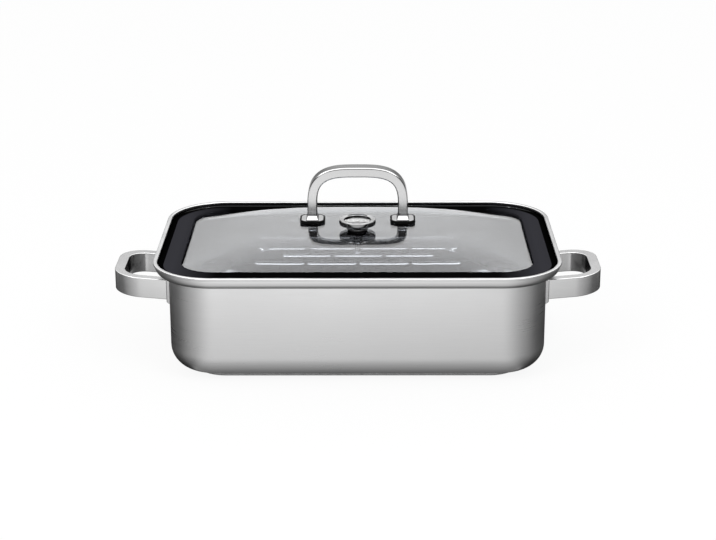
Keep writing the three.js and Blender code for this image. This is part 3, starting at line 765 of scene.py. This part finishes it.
def makeRim():
    look = rimLook
    sheet, seat = panLook["sheet"], look["seat"]
    ledge = panLook["wallInset"] + sheet
    reach = panLook["wallInset"] - panLook["lipOverhang"] - seat
    fall = panLook["collarHeight"] - panLook["collarDrop"] - sheet - seat
    base = lipTop - panLook["collarDrop"]
    outside = panLook["lipWidth"] + look["gap"]
    topAngle = math.acos((ledge - outside) / reach)
    flank = []               # follows the collar's curve
    for step in range(look["flankSteps"] + 1):
        angle = math.pi / 2 + (topAngle - math.pi / 2) * step / look["flankSteps"]
        flank.append((ledge - reach * math.cos(angle), base - fall * math.sin(angle)))
    inner = glassLook["domeInset"]
    top = lipTop - look["drop"]
    shoulderEnd, shoulderTop = border(outside + look["shoulder"], top)
    fit, fitEnd = look["grooveFit"]
    grooveTop, grooveBottom = glassTop + fit, glassTop - glassLook["thickness"] - fit
    grooveEnd = glassLook["edge"] - fitEnd
    upper = eased([
        (*flank[-1], 0),
        (outside, shoulderTop - look["shoulderDrop"], look["outerEase"]),
        (shoulderEnd, shoulderTop, look["shoulderEase"]),
        (*border(inner, top), look["innerEase"]),
        (inner, grooveTop, 0),
    ], steps=look["easeSteps"])
    lower = [border(grooveEnd, grooveTop), border(grooveEnd, grooveBottom),
             border(look["flange"], grooveBottom), (look["flange"], base - fall)]
    line = flank[:-1] + upper + lower
    count = len(panRing(*line[0]))
    easeSteps = look["easeSteps"]
    shoulder = len(flank) + easeSteps + 1 + easeSteps // 2      # bands up to the middle of its rounding
    makePiece("lidRim", [skin([panRing(*p) for p in line], True)], rimSilicone, "lid",
              ["lid_seal"], crease=40, second=shoulderSilicone,
              isSecond=lambda number: number // count < shoulder)


makeRim()
print("silicone rim made")


# lid handle with its foot plates and pads

bowLook = {
    "strap": 9.1, "width": 15, "rise": 35, "power": 3.3, "ease": 1.3, "spacing": 84, "steps": 64,
    "footLength": 11.4, "footWidth": 20.3, "footTall": 3.6, "soleTall": 0.4, "legLead": 0.5,
}
footLook = {
    "padCorner": 6.5, "padLip": 1.2, "padEases": (0.4, 0.2), "fit": 0.12,
    "plateGap": 0.3, "plateEase": 0.35,
}
bowLow, bowHigh = nodeBox("lid_handle")
plateLow, plateHigh = nodeBox("right_foot_plate")
padLow, padHigh = nodeBox("right_foot_gasket")


def bowShell():
    look = bowLook
    side = look["spacing"] / 2
    archBase = bowHigh.z - look["strap"] / 2 - look["rise"]
    footTop = bowLow.z + look["footTall"]
    bulge = 2 / look["power"]
    path = [Vector((-side, 0, footTop)), Vector((-side, 0, footTop + look["legLead"]))]
    for step in range(look["steps"] + 1):
        angle = (1 - step / look["steps"]) * math.pi
        x = math.copysign(abs(math.cos(angle)) ** bulge, math.cos(angle))
        path.append(Vector((side * x, 0, archBase + look["rise"] * math.sin(angle) ** bulge)))
    path += [Vector((side, 0, footTop + look["legLead"])), Vector((side, 0, footTop))]
    section = strapOutline(look["strap"], look["width"], look["ease"])
    points, faces = sweep(path, section, Vector((0, 1, 0)))
    count = len(section)
    rings = [points[i:i + count] for i in range(0, len(points), count)]
    sole = strapOutline(look["footLength"], look["footWidth"], look["ease"])

    def soleRing(x, height):
        way = -math.copysign(1, x)
        return [(x + way * p.x, p.y, height) for p in sole]

    low, high = bowLow.z, bowLow.z + look["soleTall"]
    rings = [soleRing(-side, low), soleRing(-side, high)] + rings
    rings += [soleRing(side, high), soleRing(side, low)]
    return skin(rings)


def squareShell(profile, corner, size, x):
    # a profile of (half width, height) about a foot; the corner is that of the full size
    steps, support = 8, 0.4
    rings = []
    for half, height in profile:
        outline = roundedRect(2 * half, 2 * half, max(corner - size / 2 + half, 1), steps, support)
        rings.append(ringAt(outline, height, x))
    return skin(rings)


def makeFeet():
    look = footLook
    padSize, plateSize = padHigh.x - padLow.x, plateHigh.x - plateLow.x
    pocket, inside = plateLow.z - look["fit"], padSize / 2 - look["padLip"]
    padEase, lipEase = look["padEases"]
    plate = eased([
        (plateSize / 4, plateLow.z, 0), (plateSize / 2, plateLow.z, look["plateEase"]),
        (plateSize / 2, plateHigh.z, look["plateEase"]), (plateSize / 4, plateHigh.z, 0)])
    pad = eased([
        (padSize / 4, padLow.z, 0), (padSize / 2, padLow.z, padEase), (padSize / 2, padHigh.z, padEase),
        (inside, padHigh.z, lipEase), (inside, pocket, 0), (padSize / 4, pocket, 0)])
    plateCorner = look["padCorner"] - look["padLip"] - look["plateGap"]
    for sideName, x in (("left", -bowLook["spacing"] / 2), ("right", bowLook["spacing"] / 2)):
        makePiece(sideName + "FootPlate", [squareShell(plate, plateCorner, plateSize, x)], paintedShadeSteel,
                  "lid", [sideName + "_foot_plate"])
        makePiece(sideName + "FootPad", [squareShell(pad, look["padCorner"], padSize, x)], padSilicone,
                  "lid", [sideName + "_foot_gasket"])


makePiece("lidHandle", [bowShell()], handleSteel, "lid", ["lid_handle"], crease=32)
makeFeet()
print("lid handle made")


# fastenings under the glass

fastenLook = {
    "steps": 48, "thread": 2.5, "hole": 2.8, "seatFit": 0.05,
    "headEases": (1.1, 0.25), "headDish": 0.01, "tipEase": 0.5,
    "washerEases": (0.15, 0.35, 0.35), "padEases": (0.2, 0.6, 0.3),      # hole, lower and upper edge
}


def ringProfile(node, hole, eases):
    low, high = nodeBox(node)
    outer = nodeRadius(node)
    atHole, below, above = eases
    corners = [(hole, low.z, atHole), (outer, low.z, below), (outer, high.z, above), (hole, high.z, atHole)]
    return eased(corners, True)


def turnedOnLid(name, profile, centre, finish, node, steps=96):
    makePiece(name, [turn(profile, centre, steps)], finish, "lid", [node])


def makeFastenings():
    look = fastenLook
    thread, steps = look["thread"], look["steps"]
    under, above = look["headEases"]
    for sideName in ("left", "right"):
        screwNode, washerNode, padNode = [sideName + end for end in ("_screw", "_washer", "_under_gasket")]
        low, high = nodeBox(screwNode)
        centre, head = nodeCentre(screwNode), nodeRadius(screwNode)
        seat = nodeBox(washerNode)[0].z - look["seatFit"]
        screw = eased([(0, low.z + look["headDish"], 0), (head, low.z, under), (head, seat, above),
                       (thread, seat, 0), (thread, high.z, look["tipEase"]), (0, high.z, 0)])
        turnedOnLid(sideName + "Screw", screw, centre, brightSteel, screwNode, steps)
        washer = ringProfile(washerNode, look["hole"], look["washerEases"])
        turnedOnLid(sideName + "Washer", washer, centre, brightSteel, washerNode, steps)
        pad = ringProfile(padNode, look["hole"], look["padEases"])
        turnedOnLid(sideName + "UnderPad", pad, centre, padSilicone, padNode, steps)


makeFastenings()
print("fastenings made")


# thermometer

thermoLook = {
    "neckTaper": 0.7, "neckSink": 0.15, "neckRise": 0.2,
    "caseFoot": 10, "caseFootTall": 0.7, "caseSheet": 1.1, "caseFloor": 1.5, "fit": 0.1,
    "caseWaist": (0.4, 0.3), "floorInset": 1, "dialShelf": 1, "dialFit": 0.3,
    "viewRadius": 12.5, "viewLedge": 1.1, "bezelStep": 0.7, "bezelFit": 0.15,
    "bezelRound": (0.9, 0.7), "bezelFlat": 1, "bezelSkirt": 1.2, "skirtFlare": (0.2, 1.2),
    "lensCrown": 0.1, "lensEases": (0.15, 0.2), "dialHole": 1.2, "dialEases": (0.1, 0.1, 0.15),
    "stemRadius": 3, "stemWall": 0.6, "stemFlange": 0.8, "stemFit": 0.3, "tipSteps": 10,
    "sweepFrom": 225, "sweep": 270,
    "ticks": 41, "ticksToLong": 5, "longTick": (9.7, 11.9, 0.22), "shortTick": (10.7, 11.9, 0.11),
    "numbers": 7, "firstNumber": 0, "numberStep": 20, "numberSize": 2.5, "numberReach": 7.7,
    "markLift": 0.01, "markRise": 0.06,
    "needle": ((-3.2, 0.65), (-1.2, 0.5), (2, 0.55), (10.2, 0.14)),      # along it, half its width
    "hub": 1.7, "hubEases": (0.1, 0.2), "hubCrown": 0.05, "nutEase": (0.9, 0.55),
    "roundSteps": 48, "padSteps": 64, "bezelSteps": 128,
}
thermoAxis = nodeCentre("thermo_bezel")
lensLow, lensHigh = nodeBox("thermo_lens")
dialLow, dialHigh = nodeBox("thermo_dial")
caseLow, caseHigh = nodeBox("thermo_case")


def makeCase():
    look = thermoLook
    inner = look["stemRadius"] + look["stemFit"]
    low, high = nodeBox("thermo_neck")
    neck, sunk = nodeRadius("thermo_neck"), low.z - look["neckSink"]
    line = eased([(inner, sunk, 0), (neck, sunk, 0.2), (neck, high.z, look["neckTaper"]),
                  (inner, high.z + look["neckRise"], 0)], True)
    turnedOnLid("thermoNeck", line, thermoAxis, padSilicone, "thermo_neck")

    outer, foot = nodeRadius("thermo_case"), look["caseFoot"]
    footTop, floor = caseLow.z + look["caseFootTall"], caseLow.z + look["caseFloor"]
    waistIn, waistUp = look["caseWaist"]
    lip, pocket = outer - look["caseSheet"], nodeRadius("thermo_dial") + look["dialFit"]
    lensSeat, dialSeat = lensLow.z - look["fit"], dialLow.z - look["fit"]
    line = eased([
        (inner, caseLow.z, 0), (foot, caseLow.z, 0.2), (foot, footTop, 0.3),
        (foot - waistIn, footTop + waistUp, 0.2), (outer, dialHigh.z, 0.8), (outer, caseHigh.z, 0.1),
        (lip, caseHigh.z, 0.1), (lip, lensSeat, 0), (pocket, lensSeat, 0.1), (pocket, dialSeat, 0),
        (pocket - look["dialShelf"], dialSeat, 0.1), (foot - look["floorInset"], floor, 0),
        (inner, floor, 0),
    ], True)
    turnedOnLid("thermoCase", line, thermoAxis, paintedShadeSteel, "thermo_case")


def makeBezel():
    look = thermoLook
    low, high = nodeBox("thermo_bezel")
    ring, view = nodeRadius("thermo_bezel"), look["viewRadius"]
    bore = nodeRadius("thermo_case") + look["bezelFit"]
    skirt, under, stepped = low.z - look["bezelSkirt"], caseHigh.z + look["fit"], high.z - look["bezelStep"]
    skirtIn, skirtUp = look["skirtFlare"]
    roundIn, roundDown = look["bezelRound"]
    flatEnd = ring - roundIn - look["bezelFlat"]
    line = eased([
        (bore, skirt, 0.15), (ring - skirtIn, skirt, 0.3), (ring, skirt + skirtUp, 0.5),
        (ring, high.z - roundDown, 0.5), (ring - roundIn, high.z, 0.5), (flatEnd, high.z, 0.5),
        (view + look["viewLedge"], stepped, 0.4), (view, stepped, 0.3), (view, under, 0), (bore, under, 0),
    ], True)
    turnedOnLid("thermoBezel", line, thermoAxis, paintedShadeSteel, "thermo_bezel",
                look["bezelSteps"])

    wide, edgeTop = nodeRadius("thermo_lens"), lensHigh.z - look["lensCrown"]
    below, above = look["lensEases"]
    line = eased([(0, lensLow.z, 0), (wide, lensLow.z, below), (wide, edgeTop, above), (0, lensHigh.z, 0)])
    turnedOnLid("thermoLens", line, thermoAxis, lensGlassFinish, "thermo_lens")
    line = ringProfile("thermo_dial", look["dialHole"], look["dialEases"])
    turnedOnLid("thermoDial", line, thermoAxis, dialFinish, "thermo_dial")


def outFrom(angle):
    # unit vectors along and square to a bearing on the dial
    out = Vector((math.cos(angle), math.sin(angle)))
    return out, Vector((-out.y, out.x))


def onDial(flat, low, high):
    return skin([ringAt(flat, height, *thermoAxis) for height in (low, high)])


def dialMarks():
    # ticks and plain numbers, a hair above the dial
    look = thermoLook
    face, rise = dialHigh.z + look["markLift"], look["markRise"]

    def bearing(number, count):
        return math.radians(look["sweepFrom"] - look["sweep"] * number / (count - 1))

    shells = []
    for tick in range(look["ticks"]):
        out, side = outFrom(bearing(tick, look["ticks"]))
        near, far, half = look["shortTick" if tick % look["ticksToLong"] else "longTick"]
        side = side * half
        flat = [out * near - side, out * far - side, out * far + side, out * near + side]
        shells.append(onDial(flat, face, face + rise))
    for mark in range(look["numbers"]):
        curve = bpy.data.curves.new("number", "FONT")
        curve.body = str(look["firstNumber"] + look["numberStep"] * mark)
        curve.size = look["numberSize"]
        curve.align_x = "CENTER"
        curve.align_y = "CENTER"
        curve.extrude = rise / 2
        place = Vector(thermoAxis) + outFrom(bearing(mark, look["numbers"]))[0] * look["numberReach"]
        shells.append(curveShell(curve, Vector((place.x, place.y, face + rise / 2))))
    makePiece("dialMarks", shells, inkFinish, "lid")


def makePointer():
    look = thermoLook
    pointLow, pointHigh = nodeBox("thermo_pointer")
    low, high, radius = pointLow.z, pointHigh.z, look["hub"]
    out, side = outFrom(math.radians(look["sweepFrom"]))
    flat = [out * a - side * half for a, half in look["needle"]]
    flat += [out * a + side * half for a, half in reversed(look["needle"])]
    below, above = look["hubEases"]
    hub = eased([(0, low, 0), (radius, low, below), (radius, high, above), (0, high + look["hubCrown"], 0)])
    shells = [onDial(flat, low, high), turn(hub, thermoAxis, look["roundSteps"])]
    makePiece("pointer", shells, pointerFinish, "pointer", ["thermo_pointer"])


def makeStem():
    look = thermoLook
    radius, steps = look["stemRadius"], look["roundSteps"]
    bore, hole = radius - look["stemWall"], radius + look["stemFit"]
    low, high = nodeBox("thermo_stem")
    flange, under = nodeRadius("thermo_stem"), high.z - look["stemFlange"]
    line = quarter(look["tipSteps"], lambda a: (radius * math.sin(a), low.z + radius * (1 - math.cos(a))))
    line += [(radius, under), (flange, under), (flange, high.z), (bore, high.z), (bore, low.z + radius),
             (0, low.z + radius)]
    turnedOnLid("probeStem", line, thermoAxis, brightSteel, "thermo_stem", steps)
    line = ringProfile("thermo_under_gasket", hole, fastenLook["padEases"])
    turnedOnLid("probePad", line, thermoAxis, padSilicone, "thermo_under_gasket",
                look["padSteps"])

    # hexagon nut with its corners turned off
    low, high = nodeBox("thermo_nut")
    across = high.x - low.x
    inward, upward = look["nutEase"]
    rings = []
    for inset, height in ((inward, low.z), (0, low.z + upward), (0, high.z - upward), (inward, high.z)):
        ring = []
        for step in range(steps):
            angle = step / steps * 2 * math.pi
            fromFlat = (angle + math.pi / 6) % (math.pi / 3) - math.pi / 6
            reach = min(across / 2 / math.cos(fromFlat), across / math.sqrt(3) - inset)
            x, y = thermoAxis[0] + reach * math.cos(angle), thermoAxis[1] + reach * math.sin(angle)
            ring.append((x, y, height))
        rings.append(ring)
    rings += [circle(thermoAxis, hole, height, steps) for height in (high.z, low.z)]
    makePiece("probeNut", [skin(rings, True)], brightSteel, "lid", ["thermo_nut"],
              crease=25)


makeCase()
makeBezel()
dialMarks()
makePointer()
makeStem()
refinish("thermo_shaft", brightSteel)
refinish("thermo_coil", bimetalFinish)
print("thermometer made")


# studio: pale floor, pale surroundings, soft lamps

studioLook = {
    "floorSize": 16.0,
    "floorColour": (0.93, 0.93, 0.93),
    "floorGlow": 0.9,        # share of plain white in what the camera sees of the floor
    "skyLevel": 0.85,
    "backLow": 0.74,         # backdrop as metal and glass see it, low down and overhead
    "backHigh": 3.0,
    "backRise": (0.1, 0.85),     # brightens upwards between these
    "backLean": 1.2,         # how far it curves over the set
    "backFront": (0.1, 0.5),     # where it fades towards the camera
    "backSides": (0.5, 0.85),
    "room": 0.1,
    "cardSize": 3.6,
    "cardHeight": 0.002,
    "cardGlow": (            # distance ahead of the pan's middle, brightness
        (0.085, 0.95), (0.098, 0.3), (0.115, 0.53), (0.14, 0.85), (0.21, 0.96), (0.28, 1.05),
        (0.355, 1.2), (0.41, 1.7), (0.47, 1.4), (0.6, 1.35), (0.75, 1.0),
    ),
    "cardCorner": (0.15, 0.09),
    "cardTurn": 98,          # degrees round the corner to the darkest place
    "cardDarkest": 0.12,
    "cardLean": (1.03, 0.9),     # left to right, over this distance each way
    "cardLeanReach": 0.2,
    "lampAim": (0, 0, 0.06),
    "lampSize": 1.1,
    "lampWatts": 18,
    "lamps": {"frontLeftLamp": (-1.5, -1.7, 1.9), "frontRightLamp": (1.5, -1.7, 1.9)},
}


def stageSquare(name, size, height, finish):
    half = size / 2
    mesh = bpy.data.meshes.new(name)
    corners = [(-half, -half, height), (half, -half, height), (half, half, height), (-half, half, height)]
    mesh.from_pydata(corners, [], [(0, 1, 2, 3)])
    mesh.materials.append(finish)
    square = bpy.data.objects.new(name, mesh)
    scene.collection.objects.link(square)
    return square


def makeFloor():
    look = studioLook
    finish, tree, shader = newFinish("paleFloor")
    plug(shader, "Base Color", (*look["floorColour"], 1))
    plug(shader, "Roughness", 0.9)
    plug(shader, "Specular IOR Level", 0.0)
    glow = addNode(tree, "ShaderNodeEmission", Strength=1.0)
    rays = addNode(tree, "ShaderNodeLightPath").outputs
    seen = calc(tree, "MULTIPLY", rays["Is Camera Ray"], look["floorGlow"])
    mixSurface(tree, seen, shader.outputs[0], glow.outputs[0], "Material Output")
    stageSquare("floor", look["floorSize"], 0, finish)


def makeSurroundings():
    look = studioLook
    world = bpy.data.worlds.new("studio")
    scene.world = world
    world.use_nodes = True
    tree = world.node_tree
    plain = tree.nodes["Background"]
    plug(plain, "Color", (1, 1, 1, 1))
    plug(plain, "Strength", look["skyLevel"])
    # a pale backdrop that curves over the set, brighter overhead; dim towards the camera and the sides
    way = splitPlace(tree, "Generated")
    rise = toRange(tree, way["Z"], look["backLow"], look["backHigh"], *look["backRise"])
    over = calc(tree, "MULTIPLY_ADD", way["Z"], look["backLean"], way["Y"])
    back = toRange(tree, over, 0.0, 1.0, *look["backFront"])
    sides = toRange(tree, calc(tree, "ABSOLUTE", way["X"]), 1.0, 0.0, *look["backSides"])
    lit = calc(tree, "MULTIPLY", calc(tree, "MULTIPLY", rise, back), sides)
    dim = calc(tree, "ADD", lit, look["room"])
    # shown to the camera as plain white, and as this backdrop in gloss and through glass
    rays = addNode(tree, "ShaderNodeLightPath").outputs
    colour = blendColour(tree, rays["Is Camera Ray"], dim, (1, 1, 1))
    shown = addNode(tree, "ShaderNodeBackground", Strength=1.0, Color=colour)
    sharp = calc(tree, "MAXIMUM", rays["Is Camera Ray"], rays["Is Glossy Ray"])
    sharp = calc(tree, "MAXIMUM", sharp, rays["Is Transmission Ray"])
    mixSurface(tree, sharp, plain.outputs[0], shown.outputs[0], "World Output")


def makeCard():
    # lies on the floor for gloss alone to mirror: the camera, matt surfaces and what passes
    # through glass miss it, and it casts no shadow
    look = studioLook
    finish, tree, shader = newFinish("bounceCard")
    place = splitPlace(tree, "Object")
    past = []
    for axis, edge in zip("XY", look["cardCorner"]):
        past.append(calc(tree, "SUBTRACT", calc(tree, "ABSOLUTE", place[axis]), edge))
    # bright beside the base, dim just ahead of it as a painted contact shadow for the metal to mirror,
    # brightest where the lid's handle mirrors it
    away = calc(tree, "ADD", calc(tree, "MAXIMUM", *past), look["cardCorner"][1])
    ramp = addNode(tree, "ShaderNodeValToRGB", Fac=away)
    stops = ramp.color_ramp.elements
    for number, (distance, level) in enumerate(look["cardGlow"]):
        stop = stops[number] if number < 2 else stops.new(distance)      # a new ramp has two stops
        stop.position = distance
        stop.color = (*grey(level), 1)
    # darkens evenly as one turns from straight ahead of the pan's corner to its side
    bearing = calc(tree, "ARCTAN2", calc(tree, "MAXIMUM", past[0], 0.0), past[1])
    shade = toRange(tree, bearing, 1.0, look["cardDarkest"], 0.0, math.radians(look["cardTurn"]))
    lean = toRange(tree, place["X"], *look["cardLean"], -look["cardLeanReach"], look["cardLeanReach"])
    strength = calc(tree, "MULTIPLY", shade, lean)
    glow = addNode(tree, "ShaderNodeEmission", Color=ramp.outputs["Color"], Strength=strength)
    plug(tree.nodes["Material Output"], "Surface", glow.outputs[0])
    card = stageSquare("bounceCard", look["cardSize"], look["cardHeight"], finish)
    for kind in ("camera", "diffuse", "transmission", "shadow"):
        setattr(card, "visible_" + kind, False)


def makeLamps():
    look = studioLook
    for name, place in look["lamps"].items():
        data = bpy.data.lights.new(name, "AREA")
        data.energy = look["lampWatts"]
        data.size = look["lampSize"]
        lamp = bpy.data.objects.new(name, data)
        lamp.location = place
        towards = Vector(look["lampAim"]) - lamp.location
        lamp.rotation_euler = towards.to_track_quat("-Z", "Y").to_euler()
        scene.collection.objects.link(lamp)


makeFloor()
makeSurroundings()
makeCard()
makeLamps()
print("studio made")


# camera, set to the photograph's angle

cameraLook = {
    "place": (0.0102, -1.6060, 0.6127),
    "down": 18.58,        # degrees below level
    "aside": 0.358,
    "roll": -0.169,
    "lens": 90.55,
    "sensor": 36.0,
    "nearest": 0.05,
    "farthest": 60,
}


def makeCamera():
    look = cameraLook
    data = bpy.data.cameras.new("camera")
    data.lens = look["lens"]
    data.sensor_width = look["sensor"]
    data.clip_start = look["nearest"]
    data.clip_end = look["farthest"]
    camera = bpy.data.objects.new("camera", data)
    aim = Matrix.Rotation(math.radians(look["aside"]), 4, "Z")
    aim = aim @ Matrix.Rotation(math.radians(90 - look["down"]), 4, "X")
    aim = aim @ Matrix.Rotation(math.radians(look["roll"]), 4, "Z")
    camera.matrix_world = Matrix.Translation(look["place"]) @ aim
    scene.collection.objects.link(camera)
    scene.camera = camera


makeCamera()
scene.view_settings.view_transform = "Standard"
print("camera made")
